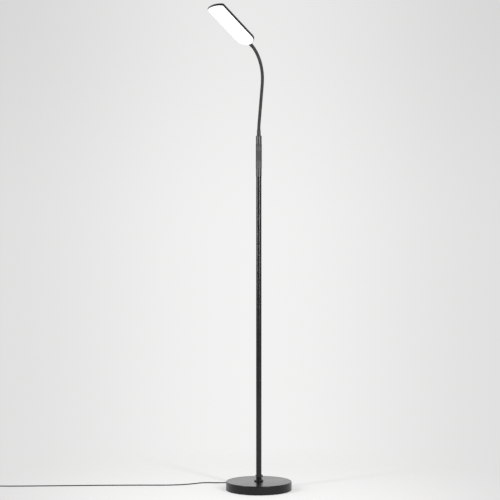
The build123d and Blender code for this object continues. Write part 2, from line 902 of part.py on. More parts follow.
def supply_lead():
    """The lead inside the pole, from the boot up to the board's connector."""
    start, direction = relief_axis()
    inner = start - direction * boot_inner_length
    foot = lead_foot()
    run = (tube_radius + lead_offset) / cos(radians(relief_drop))
    knee = start - direction * run
    top = foot + Vector(0, 0, sleeve_bottom + board_bottom)
    points = [inner, knee, top]
    radii = corner_radii(points)
    solid, path = tube_along(points, radii)
    report_tube("supply lead", solid, path, radii)
    return solid


# --- all pieces ---------------------------------------------------------------------
seams = [base_height + (index + 1) * tube_length for index in range(tube_count - 1)]
pieces = {
    "base_cover": base_cover(),
    "base_weight": base_weight(),
    "base_pad": base_pad(),
    "base_washer": base_washer(),
    "base_bolt": base_bolt(),
    "foot_plug": foot_plug(),
    "pole_collar": pole_collar(),
    "sleeve_body": sleeve_body(),
    "grip_band": grip_band(),
    "sleeve_cap": sleeve_cap(),
    "power_button": power_button(),
    "dimmer_button": dimmer_button(),
    "circuit_board": circuit_board(),
    "tact_switches": tact_switches(),
    "driver_parts": driver_parts(),
    "lead_connector": lead_connector(),
    "supply_lead": supply_lead(),
    "neck_nut": neck_nut(),
    "lower_ferrule": lower_ferrule(),
    "upper_ferrule": upper_ferrule(),
    "head_housing": placed_on_head(head_housing()),
    "neck_clip": placed_on_head(neck_clip()),
    "led_board": placed_on_head(led_board()),
    "reflector": placed_on_head(reflector()),
    "leds": placed_on_head(leds()),
    "head_screws": placed_on_head(head_screws()),
    "diffuser": placed_on_head(diffuser()),
    "strain_relief": strain_relief(),
    "cord": cord_run(),
    "cord_coil": cord_coil(),
    "cord_tail": cord_tail(),
    "coil_tie": coil_tie(),
    "adapter_body": adapter_body(),
    "adapter_blades": adapter_blades(),
}
for index in range(tube_count):
    pieces[f"pole_tube_{index + 1}"] = pole_tube(index)
for index, seam in enumerate(seams):
    pieces[f"tube_joiner_{index + 1}"] = tube_joiner(seam)
for index in range(joint_count - 1):
    pieces[f"neck_link_{index + 1:02d}"] = neck_link(index)

for name, piece in pieces.items():
    export_step(piece, f"parts/{name}.step")
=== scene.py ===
"""Gooseneck reading floor lamp: studio scene, dressed pieces and finishes."""
from math import acos, cos, pi, radians, sin, sqrt

import bmesh
import bpy
from mathutils import Matrix, Vector


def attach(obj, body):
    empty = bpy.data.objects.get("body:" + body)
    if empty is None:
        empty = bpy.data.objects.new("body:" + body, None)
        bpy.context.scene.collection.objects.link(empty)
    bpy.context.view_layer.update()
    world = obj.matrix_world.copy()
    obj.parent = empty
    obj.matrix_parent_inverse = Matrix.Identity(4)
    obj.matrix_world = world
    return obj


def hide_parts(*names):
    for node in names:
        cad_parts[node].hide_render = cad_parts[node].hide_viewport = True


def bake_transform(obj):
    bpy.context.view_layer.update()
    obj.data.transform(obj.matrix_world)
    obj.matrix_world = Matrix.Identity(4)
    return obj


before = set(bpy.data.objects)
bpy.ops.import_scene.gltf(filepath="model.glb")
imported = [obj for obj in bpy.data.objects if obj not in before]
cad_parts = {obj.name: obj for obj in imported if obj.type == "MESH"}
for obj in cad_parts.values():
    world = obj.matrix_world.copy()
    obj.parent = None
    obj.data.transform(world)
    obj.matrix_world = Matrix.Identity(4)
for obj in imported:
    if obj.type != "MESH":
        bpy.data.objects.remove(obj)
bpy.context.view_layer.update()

mm = 0.001
scene = bpy.context.scene

# --- sizes shared with the solids, in millimetres -------------------------------------
base_radius, base_height, base_lift, base_edge = 115.0, 31.0, 1.5, 2.4
cover_wall, cover_bolt_hole, pad_radius, pad_height = 1.2, 4.4, 112.0, 3.0
tube_radius, tube_bore, tube_length, tube_count = 9.5, 8.3, 355.3, 3
collar_bore, collar_radius, collar_height, collar_round = 9.62, 16.0, 4.6, 1.8
sleeve_radius, sleeve_bore, sleeve_height = 10.2, 8.2, 142.1
spigot_length, spigot_bore, groove_radius, cap_height, cap_bore = 16.0, 6.2, 9.4, 3.0, 5.1
sleeve_bottom = base_height + tube_count * tube_length
sleeve_top = sleeve_bottom + sleeve_height
band_bottom, band_height, band_radius = sleeve_bottom + 28.1, 84.0, 10.6
power_height, dimmer_height = sleeve_bottom + 97.0, sleeve_bottom + 42.8
button_width, dimmer_length, button_radius, window_gap = 11.4, 23.0, 11.3, 0.3
neck_radius, joint_count, neck_pitch = 5.6, 12, 26.34
rib_pitch, rib_depth = 2.03, 0.34
neck_turn, neck_lean, neck_lean_length, neck_bend_radius = 48.0, 6.92, 156.0, 135.9
ball_height = sleeve_top + 32.0
head_tilt, head_roll, upper_ferrule_length, neck_entry = 59.0, 6.5, 22.0, 1.2
head_length, head_width, head_depth, panel_margin = 212.0, 70.0, 9.7, 1.5
shell_lip, shell_back, panel_height = 2.8, 1.5, 2.0
tip_bulge, neck_end_bulge, tip_corner, neck_end_corner = 8.0, 28.0, 5.0, 4.0
cord_radius = 1.9
cord_floor = cord_radius + 0.05
coil_level = cord_floor + 0.7 + 0.2
coil_x, coil_entry_y, layer_rise = -965.0, 65.6, 4.3
outer_turn, inner_turn, tail_length = 24.5, 17.9, 62.0
adapter_width, adapter_length, adapter_thick = 34.0, 46.0, 24.0


# --- the camera ---------------------------------------------------------------------
def set_camera():
    aside, back, height = -0.0308, -4.85, 0.83965
    bpy.ops.object.select_all(action="DESELECT")
    bpy.ops.object.camera_add(location=(aside, back, height), rotation=(pi / 2, 0, 0))
    camera = bpy.context.object
    camera.name = "photo_camera"
    camera.data.sensor_width = 36.0
    camera.data.lens = 99.77
    camera.data.clip_end = 200.0
    scene.camera = camera


set_camera()


# --- finishes -----------------------------------------------------------------------
def finish_nodes(name):
    finish = bpy.data.materials.new(name)
    finish.use_nodes = True
    nodes = finish.node_tree.nodes
    return finish, nodes, finish.node_tree.links, nodes["Principled BSDF"]


def object_noise(nodes, links, scale, detail=4.0, stretch=(1, 1, 1)):
    """Grain that keeps its place on the piece; scale is per metre."""
    place = nodes.new("ShaderNodeTexCoord")
    mapping = nodes.new("ShaderNodeMapping")
    mapping.inputs["Scale"].default_value = stretch
    grain = nodes.new("ShaderNodeTexNoise")
    grain.inputs["Scale"].default_value = scale
    grain.inputs["Detail"].default_value = detail
    links.new(place.outputs["Object"], mapping.inputs["Vector"])
    links.new(mapping.outputs["Vector"], grain.inputs["Vector"])
    return grain.outputs["Fac"]


def spread(nodes, links, source, low, high):
    """Maps grain to a range of one value."""
    span = nodes.new("ShaderNodeMapRange")
    span.inputs["From Min"].default_value = 0.3
    span.inputs["From Max"].default_value = 0.7
    span.inputs["To Min"].default_value = low
    span.inputs["To Max"].default_value = high
    links.new(source, span.inputs["Value"])
    return span.outputs["Result"]


def two_tone(nodes, links, source, dark, light):
    ramp = nodes.new("ShaderNodeValToRGB")
    ramp.color_ramp.elements[0].position = 0.35
    ramp.color_ramp.elements[0].color = (*dark, 1)
    ramp.color_ramp.elements[1].position = 0.65
    ramp.color_ramp.elements[1].color = (*light, 1)
    links.new(source, ramp.inputs["Fac"])
    return ramp.outputs["Color"]


def bump(nodes, links, shader, source, strength, depth):
    relief = nodes.new("ShaderNodeBump")
    relief.inputs["Strength"].default_value = strength
    relief.inputs["Distance"].default_value = depth
    links.new(source, relief.inputs["Height"])
    links.new(relief.outputs["Normal"], shader.inputs["Normal"])


def grained_finish(name, dark, light, rough, metallic=0.0, grain=900.0, patch=14.0,
                   relief=0.12, depth=0.00006, stretch=(1, 1, 1), **sockets):
    """A finish with slow drift in tone and roughness and a fine surface grain."""
    finish, nodes, links, shader = finish_nodes(name)
    drift = object_noise(nodes, links, patch, 3.0)
    fine = object_noise(nodes, links, grain, 3.0, stretch)
    links.new(two_tone(nodes, links, drift, dark, light), shader.inputs["Base Color"])
    links.new(spread(nodes, links, drift, *rough), shader.inputs["Roughness"])
    shader.inputs["Metallic"].default_value = metallic
    bump(nodes, links, shader, fine, relief, depth)
    for socket, value in sockets.items():
        shader.inputs[socket.replace("_", " ")].default_value = value
    return finish


powder_coat = grained_finish("semi_gloss_powder_coat", (0.005, 0.005, 0.0048),
                             (0.0075, 0.0075, 0.0072), (0.2, 0.25), grain=1100.0,
                             Specular_IOR_Level=0.32)
base_coat = grained_finish("base_powder_coat", (0.004, 0.004, 0.0038), (0.006, 0.006, 0.0057),
                           (0.22, 0.27), grain=1000.0, patch=9.0, Specular_IOR_Level=0.3)
neck_coat = grained_finish("neck_hose_coat", (0.015, 0.015, 0.0145), (0.021, 0.021, 0.02),
                           (0.4, 0.48), grain=1500.0, patch=30.0, Specular_IOR_Level=0.32)
sleeve_plastic = grained_finish("sleeve_moulded_plastic", (0.021, 0.021, 0.02),
                                (0.027, 0.027, 0.026), (0.34, 0.42), grain=2200.0, relief=0.25)
collar_plastic = grained_finish("collar_moulded_plastic", (0.006, 0.006, 0.006),
                                (0.009, 0.009, 0.009), (0.3, 0.36), grain=2000.0,
                                Specular_IOR_Level=0.25)
grip_rubber = grained_finish("grip_rubber", (0.022, 0.022, 0.0215), (0.03, 0.03, 0.029),
                             (0.58, 0.68), grain=3200.0, relief=0.45, depth=0.0001)
# The rims' pale grey is a painted highlight: it stands in for the light caught by the raised
# rim round each button.
rim_painted_highlight_rubber = grained_finish("button_rim_painted_highlight_rubber", (0.09, 0.09, 0.088), (0.13, 0.13, 0.127),
                            (0.45, 0.55), grain=3000.0, relief=0.3)
button_rubber = grained_finish("button_rubber", (0.032, 0.032, 0.031), (0.044, 0.044, 0.043),
                               (0.5, 0.58), grain=3600.0, relief=0.3, depth=0.00006)
head_coat = grained_finish("head_shell_coat", (0.009, 0.009, 0.009), (0.013, 0.013, 0.0125),
                           (0.3, 0.36), grain=1300.0, Specular_IOR_Level=0.34)
cord_jacket = grained_finish("cord_jacket", (0.005, 0.005, 0.005), (0.008, 0.008, 0.008),
                             (0.42, 0.5), grain=1800.0, patch=40.0, relief=0.2,
                             Specular_IOR_Level=0.25)
adapter_shell = grained_finish("adapter_shell", (0.022, 0.022, 0.022), (0.03, 0.03, 0.03),
                               (0.38, 0.48), grain=2600.0, relief=0.35)
pad_rubber = grained_finish("pad_rubber", (0.025, 0.025, 0.025), (0.04, 0.04, 0.04),
                            (0.75, 0.85), grain=1600.0, relief=0.5, depth=0.0002)
zinc_steel = grained_finish("zinc_plated_steel", (0.5, 0.5, 0.49), (0.62, 0.62, 0.6),
                            (0.28, 0.4), metallic=1.0, grain=700.0, patch=60.0)
cast_iron = grained_finish("cast_iron", (0.06, 0.058, 0.055), (0.12, 0.115, 0.11),
                           (0.6, 0.75), metallic=0.6, grain=500.0, relief=0.6, depth=0.0004)
plated_brass = grained_finish("plated_blades", (0.66, 0.62, 0.5), (0.74, 0.7, 0.58),
                              (0.2, 0.3), metallic=1.0, grain=900.0, patch=80.0,
                              stretch=(1, 8, 1))
board_green = grained_finish("glass_fibre_board", (0.03, 0.14, 0.06), (0.05, 0.2, 0.09),
                             (0.35, 0.45), grain=2500.0, patch=120.0)
part_black = grained_finish("moulded_component", (0.02, 0.02, 0.02), (0.04, 0.04, 0.04),
                            (0.4, 0.55), grain=2500.0, patch=150.0)
nylon_white = grained_finish("connector_nylon", (0.7, 0.69, 0.64), (0.78, 0.77, 0.72),
                             (0.4, 0.5), grain=2000.0, patch=90.0)
white_board = grained_finish("white_light_board", (0.78, 0.78, 0.76), (0.86, 0.86, 0.84),
                             (0.35, 0.45), grain=1500.0, patch=50.0)
white_sheet = grained_finish("white_reflector_sheet", (0.84, 0.84, 0.83), (0.9, 0.9, 0.89),
                             (0.6, 0.7), grain=900.0, patch=40.0)
lamp_yellow = grained_finish("light_source_body", (0.82, 0.78, 0.5), (0.9, 0.86, 0.6),
                             (0.3, 0.4), grain=3000.0, patch=300.0)


def opal_finish():
    """White panel that glows, with slight clouds in its tone and roughness."""
    finish, nodes, links, shader = finish_nodes("opal_light_panel")
    cloud = object_noise(nodes, links, 35.0, 2.0)
    links.new(two_tone(nodes, links, cloud, (0.9, 0.9, 0.895), (0.94, 0.94, 0.935)),
              shader.inputs["Base Color"])
    links.new(spread(nodes, links, cloud, 0.38, 0.44), shader.inputs["Roughness"])
    shader.inputs["Emission Color"].default_value = (1.0, 0.995, 0.985, 1)
    shader.inputs["Emission Strength"].default_value = 0.3
    bump(nodes, links, shader, object_noise(nodes, links, 2500.0, 2.0), 0.06, 0.00003)
    return finish


opal_panel = opal_finish()


def wear(piece, finish):
    piece.data.materials.clear()
    piece.data.materials.append(finish)


# --- making helpers -----------------------------------------------------------------
def deselect_all():
    bpy.ops.object.select_all(action="DESELECT")


def work_on(piece):
    deselect_all()
    piece.select_set(True)
    bpy.context.view_layer.objects.active = piece


def smooth(piece, angle=32):
    work_on(piece)
    bpy.ops.object.shade_smooth_by_angle(angle=radians(angle))


def arc(radius, height, size, start, end, steps=6):
    """Points of a rounded corner in an outline; 0 degrees points outwards, 90 up."""
    angles = [radians(start + (end - start) * step / steps) for step in range(steps + 1)]
    return [(radius + size * cos(a), height + size * sin(a)) for a in angles]


def edit(mode="VERT"):
    bpy.ops.object.mode_set(mode="EDIT")
    bpy.ops.mesh.select_mode(type=mode)


def finish_edit():
    """Turns all faces outwards and leaves edit mode."""
    bpy.ops.mesh.select_all(action="SELECT")
    bpy.ops.mesh.normals_make_consistent(inside=False)
    bpy.ops.object.mode_set(mode="OBJECT")


def select_points(piece, chosen):
    mesh = bmesh.from_edit_mesh(piece.data)
    for vertex in mesh.verts:
        vertex.select = chosen(vertex.co)
    mesh.select_flush(True)
    mesh.select_flush(False)
    bmesh.update_edit_mesh(piece.data)


def select_edges(piece, chosen):
    """Edge mode comes first: in vertex mode a refused edge drops its neighbours' points."""
    bpy.ops.mesh.select_mode(type="EDGE")
    mesh = bmesh.from_edit_mesh(piece.data)
    for edge in mesh.edges:
        edge.select = chosen(edge)
    bmesh.update_edit_mesh(piece.data)


def select_faces(piece, chosen):
    bpy.ops.mesh.select_mode(type="FACE")
    mesh = bmesh.from_edit_mesh(piece.data)
    for face in mesh.faces:
        face.select = chosen(face)
    bmesh.update_edit_mesh(piece.data)


def draw_ring(move, size, centre):
    """Draws the selected ring on by a move and resizes the new one about a centre."""
    bpy.ops.mesh.extrude_region_move(TRANSFORM_OT_translate={"value": move})
    bpy.ops.transform.resize(value=size, center_override=centre)


def turned(name, outline, sides=96, bored=False):
    """A lathe piece: one ring drawn up through the (radius, height) steps of an outline."""
    steps = outline + outline[:1] if bored else outline
    deselect_all()
    bpy.ops.mesh.primitive_circle_add(vertices=sides, radius=steps[0][0] * mm)
    piece = bpy.context.object
    piece.name = name
    edit()
    bpy.ops.mesh.select_all(action="SELECT")
    bpy.ops.transform.translate(value=(0, 0, steps[0][1] * mm))
    for (radius, height), (next_radius, next_height) in zip(steps, steps[1:]):
        ratio = next_radius / radius
        draw_ring((0, 0, (next_height - height) * mm), (ratio, ratio, 1), (0, 0, 0))
    bpy.ops.mesh.select_all(action="SELECT")
    if bored:
        bpy.ops.mesh.remove_doubles(threshold=0.000002)
    else:
        bpy.ops.mesh.fill_holes(sides=0)
    finish_edit()
    smooth(piece)
    return piece


def put(piece, place):
    """Moves a finished piece to its place and leaves its object at the origin."""
    piece.matrix_world = place
    work_on(piece)
    bpy.ops.object.transform_apply(location=True, rotation=True, scale=True)


def apply_modifiers(piece):
    work_on(piece)
    for modifier in list(piece.modifiers):
        bpy.ops.object.modifier_apply(modifier=modifier.name)


def cut_away(piece, cutter):
    tool = piece.modifiers.new("cut", "BOOLEAN")
    tool.operation = "DIFFERENCE"
    tool.object = cutter
    tool.solver = "EXACT"
    apply_modifiers(piece)
    bpy.data.objects.remove(cutter, do_unlink=True)


def settle(piece, body, finish, slot, *nodes):
    """Gives a piece its finish and ties it to its body and to the solids it stands for."""
    wear(piece, finish)
    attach(piece, body)
    if nodes:
        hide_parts(*nodes)


# --- the cord -----------------------------------------------------------------------
relief_turn, relief_drop, relief_height, relief_length = 19.0, 18.0, 54.0, 22.0


def relief_axis():
    turn, drop = radians(relief_turn), radians(relief_drop)
    across = Vector((sin(turn), cos(turn), 0))
    start = across * tube_radius + Vector((0, 0, relief_height))
    return start, across * cos(drop) - Vector((0, 0, sin(drop)))


def coil_points():
    """Control points of the put-away turns: in on the floor, up, and out on top."""
    per_half = 6
    reach = 1 / cos(pi / per_half / 2)
    turns = [outer_turn, 22.3, 20.1, inner_turn]
    halves = [(radius, 0) for radius in turns] + [(15.7, 0.5)]
    halves += [(radius, 1) for radius in reversed(turns)]
    points, y, side = [], coil_entry_y, 1
    for index, (radius, layer) in enumerate(halves):
        centre = y + side * radius
        last = index == len(halves) - 1
        for step in range(per_half // 2 if last else per_half):
            turn = pi * (step + 0.5) / per_half
            lift = layer if layer != 0.5 else (step + 0.5) / per_half
            points.append((coil_x - side * radius * reach * sin(turn),
                           centre - side * radius * reach * cos(turn),
                           coil_level + layer_rise * lift))
        y += 2 * side * radius
        side = -side
    return points


def cord_points():
    start, direction = relief_axis()
    tip = start + direction * relief_length
    knee = tip + direction * 12.0
    over_base = [(12.0, 53.0, 37.0), (7.5, 71.0, 32.6), (1.5, 91.0, 35.2)]
    down = [(-4.0, 111.0, 39.4), (-10.0, 127.5, 29.5), (-18.0, 138.0, 11.0)]
    behind = [(-32.0, 149.0, cord_floor), (-62.0, 153.0, cord_floor)]
    beside = [(-108.0, 141.0, cord_floor), (-152.0, 136.5, cord_floor)]
    beside += [(-198.0, 143.0, cord_floor), (-242.0, 111.0, cord_floor)]
    away = [(-291.0, 91.0, cord_floor), (-345.0, 86.2, cord_floor)]
    away += [(-403.0, 87.4, cord_floor), (-461.0, 86.6, cord_floor)]
    away += [(-519.0, 84.8, cord_floor), (-577.0, 82.4, cord_floor)]
    away += [(-635.0, 79.4, cord_floor), (-693.0, 75.6, cord_floor)]
    away += [(-751.0, 71.6, cord_floor), (-809.0, 68.4, cord_floor)]
    away += [(-867.0, 66.4, cord_floor), (-907.0, 66.0, cord_floor)]
    away += [(-937.0, coil_entry_y, coil_level)]
    coil_end = Vector((coil_x - outer_turn, coil_entry_y + outer_turn,
                       coil_level + layer_rise))
    plug = Vector((coil_end.x, coil_end.y + tail_length, adapter_thick / 2))
    tail = [coil_end + Vector((0, 14.0, 0)), coil_end + Vector((1.5, 31.0, 0.8))]
    tail += [plug - Vector((0, 14.0, 0)), plug]
    return [tip, knee, *over_base, *down, *behind, *beside, *away, *coil_points(), *tail]


def make_cord():
    data = bpy.data.curves.new("supply_cord", "CURVE")
    data.dimensions = "3D"
    data.resolution_u = 10
    data.bevel_depth = cord_radius * mm
    data.bevel_resolution = 5
    data.use_fill_caps = True
    spline = data.splines.new("NURBS")
    points = cord_points()
    spline.points.add(len(points) - 1)
    for point, place in zip(spline.points, points):
        point.co = (place[0] * mm, place[1] * mm, place[2] * mm, 1)
    spline.order_u = 3
    spline.use_endpoint_u = True
    cord = bpy.data.objects.new("supply_cord", data)
    scene.collection.objects.link(cord)
    return cord


def cord_length(cord):
    """The length of the cord's own line."""
    line = cord.copy()
    line.data = cord.data.copy()
    line.data.bevel_depth = 0
    scene.collection.objects.link(line)
    bpy.context.view_layer.update()
    mesh = bpy.data.meshes.new_from_object(line)
    places = [vertex.co.copy() for vertex in mesh.vertices]
    bpy.data.objects.remove(line, do_unlink=True)
    return sum((b - a).length for a, b in zip(places, places[1:]))


cord = make_cord()


# --- base ---------------------------------------------------------------------------
def make_base():
    wide, low, top, edge = base_radius, base_lift, base_height, base_edge
    outline = [(wide - 1.1, low + 0.1), (wide - 0.2, low), (wide, low + 0.2), (wide, low + 0.8)]
    outline += [(wide, top - edge - 0.6)] + arc(wide - edge, top - edge, edge, 0, 90, 8)
    outline += [(wide - 3.0, top), (60.0, top), (17.0, top), (cover_bolt_hole, top)]
    outline += [(cover_bolt_hole, top - cover_wall), (wide - 3.0, top - cover_wall)]
    outline += arc(wide - edge, top - edge, edge - cover_wall, 90, 0, 4)
    outline += [(wide - cover_wall, top - edge - 0.6)]
    cover = turned("base_cover_shell", outline, sides=192, bored=True)
    settle(cover, "stand", base_coat, "black_powder_coat", "base_cover")

    outline = [(pad_radius - 0.5, 0.0), (pad_radius, 0.5), (pad_radius, pad_height - 0.4)]
    outline += [(pad_radius - 0.4, pad_height)]
    pad = turned("base_floor_pad", outline, sides=128)
    settle(pad, "stand", pad_rubber, "black_rubber", "base_pad")


# --- pole ---------------------------------------------------------------------------
def make_pole():
    wide = tube_radius
    for index in range(tube_count):
        low = base_height + index * tube_length
        high = low + tube_length
        outline = [(tube_bore, low), (wide - 0.3, low), (wide - 0.08, low + 0.12)]
        outline += [(wide, low + 0.4), (wide, low + 1.0), (wide, high - 1.0)]
        outline += [(wide, high - 0.4), (wide - 0.08, high - 0.12), (wide - 0.3, high)]
        outline += [(tube_bore, high)]
        tube = turned(f"pole_tube_{index + 1}_skin", outline, sides=96, bored=True)
        if index == 0:
            cut_boot_hole(tube)
        settle(tube, "stand", powder_coat, "black_powder_coat", f"pole_tube_{index + 1}")

    wide, low, top = collar_radius, base_height, base_height + collar_height
    outline = [(collar_bore, low), (wide - 0.2, low), (wide, low + 0.2), (wide, low + 2.6)]
    outline += arc(wide - collar_round, top - collar_round, collar_round, 0, 90, 8)
    outline += [(wide - 2.6, top), (collar_bore + 0.28, top), (collar_bore, top - 0.3)]
    ring = turned("pole_foot_collar", outline, sides=96, bored=True)
    settle(ring, "stand", collar_plastic, "black_plastic", "pole_collar")


def relief_place():
    start, direction = relief_axis()
    turn = Vector((0, 0, 1)).rotation_difference(direction).to_matrix().to_4x4()
    return Matrix.Translation(start * mm) @ turn


def cut_boot_hole(tube):
    deselect_all()
    hole_radius, depth, middle = 3.1, 4.8, -1.2
    bpy.ops.mesh.primitive_cylinder_add(vertices=48, radius=hole_radius * mm, depth=depth * mm,
                                        location=(0, 0, middle * mm))
    cutter = bpy.context.object
    put(cutter, relief_place() @ cutter.matrix_world)
    cut_away(tube, cutter)
    smooth(tube)


def make_boot():
    """The moulded boot: flexing ribs between grooves, narrowing to the cord."""
    outline = [(2.9, -2.0), (3.0, -1.8), (3.0, -0.2), (4.1, 0.55), (4.1, 2.2)]
    ribs, first, last, widest, taper = 6, 3.2, 20.2, 4.05, 1.35
    pitch = (last - first) / ribs
    for index in range(ribs):
        low = first + index * pitch
        wide = widest - taper * (low - first) / (last - first)
        outline += [(wide - 0.05, low - 0.55), (wide - 0.7, low - 0.3), (wide - 0.7, low + 0.3)]
        outline += [(wide - 0.05, low + 0.55), (wide, low + 0.9), (wide - 0.02, low + 1.7)]
    outline += [(2.62, 20.6), (2.6, 21.4), (2.35, 21.9), (2.1, 22.0)]
    boot = turned("cord_boot", outline, sides=40)
    put(boot, relief_place())
    settle(boot, "stand", cord_jacket, "cord_jacket", "strain_relief")


# --- control sleeve -----------------------------------------------------------------
def oblong(name, width, length, height, front):
    """A round or oblong outline in front of the sleeve, still flat, as one face."""
    deselect_all()
    bpy.ops.mesh.primitive_circle_add(vertices=56, radius=width / 2 * mm, fill_type="NGON")
    piece = bpy.context.object
    piece.name = name
    edit()
    half = (length - width) / 2
    if half > 0:
        for way in (1, -1):
            select_points(piece, lambda co: co.y * way > 0.0001)
            bpy.ops.transform.translate(value=(0, way * half * mm, 0))
    bpy.ops.object.mode_set(mode="OBJECT")
    standing = Matrix.Rotation(pi / 2, 4, "X")
    put(piece, Matrix.Translation((0, -front * mm, height * mm)) @ standing)
    return piece


def window_cutter(width, length, height):
    cutter = oblong("window", width, length, height, 0)
    work_on(cutter)
    edit()
    bpy.ops.mesh.select_all(action="SELECT")
    push = {"value": (0, -2 * sleeve_radius * mm, 0)}
    bpy.ops.mesh.extrude_region_move(TRANSFORM_OT_translate=push)
    finish_edit()
    return cutter


def cut_windows(piece):
    gap = 2 * window_gap
    cut_away(piece, window_cutter(button_width + gap, button_width + gap, power_height))
    cut_away(piece, window_cutter(button_width + gap, dimmer_length + gap, dimmer_height))
    smooth(piece, 30)


def follow_sleeve(piece, radius):
    """Pushes a flat-fronted piece back until it follows the sleeve's round."""
    for vertex in piece.data.vertices:
        side = min(abs(vertex.co.x) / mm, radius * 0.98)
        vertex.co.y += (radius - sqrt(radius**2 - side**2)) * mm
    piece.data.update()


def make_button(name, length, height, body, node):
    """A cap with a shallow dish, a rounded edge and sides that run back into the sleeve."""
    rounding = 2 * 0.45
    button = oblong(name, button_width - rounding, length - rounding, height, button_radius)
    work_on(button)
    edit()
    bpy.ops.mesh.select_all(action="SELECT")
    for inset, rise in ((0.7, 0.0), (0.25, 0.12), (0.9, 0.06), (1.2, 0.02), (1.0, 0.0)):
        bpy.ops.mesh.inset(thickness=inset * mm, depth=0)
        bpy.ops.transform.translate(value=(0, rise * mm, 0))
    bpy.ops.mesh.select_all(action="DESELECT")
    select_edges(button, lambda edge: edge.is_boundary)
    around = (0, 0, height * mm)
    for growth, back in ((0.26, 0.1), (0.14, 0.2), (0.05, 0.25), (0.0, 3.2)):
        size = (1 + 2 * growth / button_width, 1, 1 + 2 * growth / length)
        draw_ring((0, back * mm, 0), size, around)
    bpy.ops.mesh.edge_face_add()
    finish_edit()
    follow_sleeve(button, button_radius)
    smooth(button, 40)
    settle(button, body, button_rubber, "black_rubber", node)


def make_rim(name, length, height):
    """The low rounded rim moulded round a button's window, in a pale grey that is a painted
    highlight on its edges.
    """
    inner_width, inner_length = button_width + 2 * window_gap, length + 2 * window_gap
    rim = oblong(name, inner_width, inner_length, height, band_radius - 0.2)
    work_on(rim)
    edit()
    bpy.ops.mesh.select_all(action="SELECT")
    bpy.ops.mesh.delete(type="ONLY_FACE")
    bpy.ops.mesh.select_all(action="SELECT")
    around = (0, 0, height * mm)
    for growth, forward in ((0.0, 0.45), (0.1, 0.13), (0.2, 0.05), (0.25, 0.0), (0.2, -0.05),
                            (0.15, -0.13), (0.1, -0.4)):
        size = (1 + 2 * growth / inner_width, 1, 1 + 2 * growth / inner_length)
        draw_ring((0, -forward * mm, 0), size, around)
    select_edges(rim, lambda edge: edge.is_boundary)
    bpy.ops.mesh.bridge_edge_loops()
    finish_edit()
    follow_sleeve(rim, band_radius)
    smooth(rim, 50)
    # The rim's pale grey finish is a painted highlight, not the rubber's own colour.
    settle(rim, "stand", rim_painted_highlight_rubber, "black_rubber")


def make_sleeve():
    low, seat, foot = sleeve_bottom, sleeve_top - cap_height, sleeve_bottom - spigot_length
    groove_low, groove_high = band_bottom, band_bottom + band_height
    wide, bore, edge = sleeve_radius, sleeve_bore, sleeve_radius - 0.1
    outline = [(spigot_bore, foot), (bore - 0.2, foot), (bore, foot + 0.2), (bore, low)]
    outline += [(wide - 0.2, low), (wide, low + 0.25), (wide, low + 0.9)]
    outline += [(wide, groove_low - 0.5), (edge, groove_low - 0.05)]
    outline += [(groove_radius, groove_low), (groove_radius, groove_high)]
    outline += [(edge, groove_high + 0.05), (wide, groove_high + 0.5), (wide, seat - 0.5)]
    outline += [(edge, seat), (bore, seat), (bore, low + 3), (spigot_bore, low + 3)]
    sleeve = turned("sleeve_shell", outline, sides=96, bored=True)
    cut_windows(sleeve)
    settle(sleeve, "stand", sleeve_plastic, "black_plastic", "sleeve_body")

    back, edge, corner = groove_radius + 0.05, band_radius - 0.35, 0.4
    outline = [(back, groove_low + 0.1), (edge, groove_low + 0.1)]
    outline += arc(band_radius - corner, groove_low + 0.5, corner, -80, 0, 4)
    outline += [(band_radius, groove_low + 1.2), (band_radius, groove_high - 1.2)]
    outline += arc(band_radius - corner, groove_high - 0.5, corner, 0, 80, 4)
    outline += [(edge, groove_high - 0.1), (back, groove_high - 0.1)]
    band = turned("grip_band_skin", outline, sides=96, bored=True)
    cut_windows(band)
    settle(band, "stand", grip_rubber, "black_rubber", "grip_band")

    plug, corner = bore - 0.1, 0.6
    outline = [(cap_bore, seat - 2), (plug, seat - 2), (plug, seat), (wide - 0.1, seat)]
    outline += [(wide, seat + 0.12), (wide, sleeve_top - 0.9)]
    outline += arc(wide - corner, sleeve_top - corner, corner, 0, 90, 5)
    outline += [(wide - 1.0, sleeve_top), (cap_bore, sleeve_top)]
    cap = turned("sleeve_top_cap", outline, sides=96, bored=True)
    settle(cap, "stand", sleeve_plastic, "black_plastic", "sleeve_cap")

    make_rim("power_button_rim", button_width, power_height)
    make_rim("dimmer_button_rim", dimmer_length, dimmer_height)
    make_button("power_button_cap", button_width, power_height, "power_button", "power_button")
    make_button("dimmer_button_cap", dimmer_length, dimmer_height, "dimmer_button",
                "dimmer_button")


# --- neck ---------------------------------------------------------------------------
def neck_point(distance):
    lean = radians(-neck_lean)
    straight = min(distance, neck_lean_length)
    offset, height = straight * sin(lean), ball_height + straight * cos(lean)
    angle = lean + (distance - straight) / neck_bend_radius
    offset += neck_bend_radius * (cos(lean) - cos(angle))
    height += neck_bend_radius * (sin(angle) - sin(lean))
    return bending_side() * offset + Vector((0, 0, height))


def bending_side():
    turn = radians(neck_turn)
    return Vector((-cos(turn), -sin(turn), 0))


def head_axes():
    tilt, roll = radians(head_tilt), radians(head_roll)
    side = bending_side()
    long_axis = Vector((0, 0, 1)) * cos(tilt) + side * sin(tilt)
    level = side * cos(tilt) - Vector((0, 0, 1)) * sin(tilt)
    outward = level * cos(roll) + long_axis.cross(level) * sin(roll)
    return long_axis, outward.cross(long_axis), outward


joints = [neck_point(index * neck_pitch) for index in range(joint_count)]
head_way = head_axes()[0]
head_start = joints[-1] + head_way * upper_ferrule_length


def one_rib(name, height):
    """One turn of the neck's winding: a rounded crest between two grooves."""
    groove, crest = neck_radius - rib_depth, neck_radius
    steps = [(groove, 0.0), (crest - 0.1, 0.16), (crest, 0.34), (crest, 0.66),
             (crest - 0.1, 0.84), (groove, 1.0)]
    rib = turned(name, [(radius, share * height) for radius, share in steps], sides=36)
    work_on(rib)
    edit("FACE")
    select_faces(rib, lambda face: len(face.verts) > 4)
    bpy.ops.mesh.delete(type="ONLY_FACE")
    bpy.ops.object.mode_set(mode="OBJECT")
    return rib


